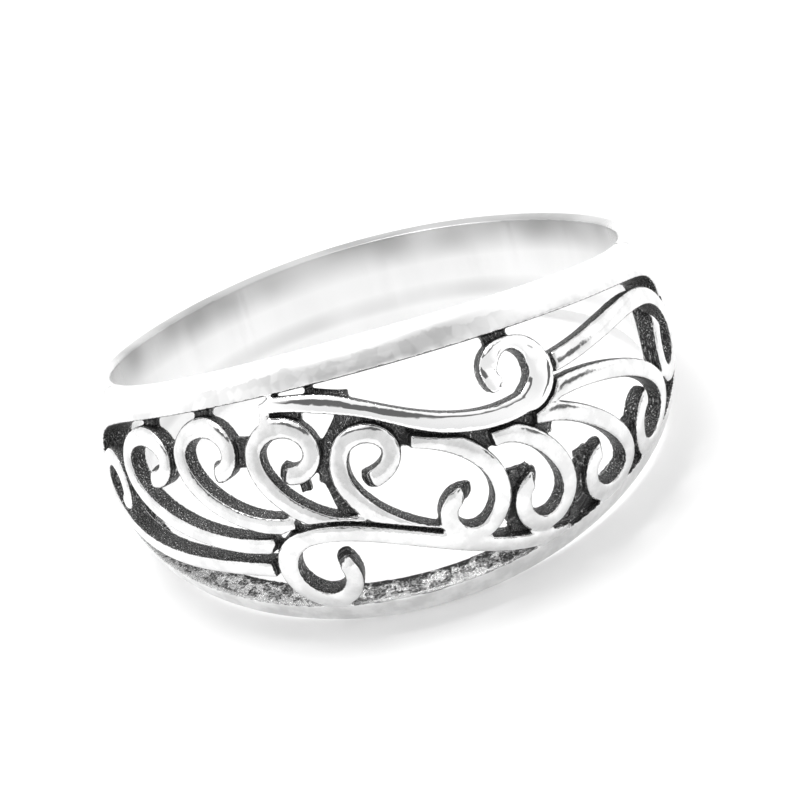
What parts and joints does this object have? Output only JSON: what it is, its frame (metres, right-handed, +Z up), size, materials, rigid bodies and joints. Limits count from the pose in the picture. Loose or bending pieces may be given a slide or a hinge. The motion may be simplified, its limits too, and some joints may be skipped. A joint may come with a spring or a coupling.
{
  "type": "filigree openwork ring",
  "caption": "Domed silver finger ring that lies on its side: a plain shank that widens to a hollow front pierced with scrolls and two volutes between rails.",
  "frame": {"origin": "centre of the ring's bounding box, on the floor that the ring lies on", "axes": "+Z up, nearly along the finger hole; the wide pierced front faces -Y and the plain back +Y"},
  "size_m": [0.02, 0.021, 0.0097],
  "materials": {
    "silver": "polished silver, blackened in the pierced walls and webs"
  },
  "bodies": {
    "root": {"openwork_ring": "silver"}
  },
  "joints": []
}
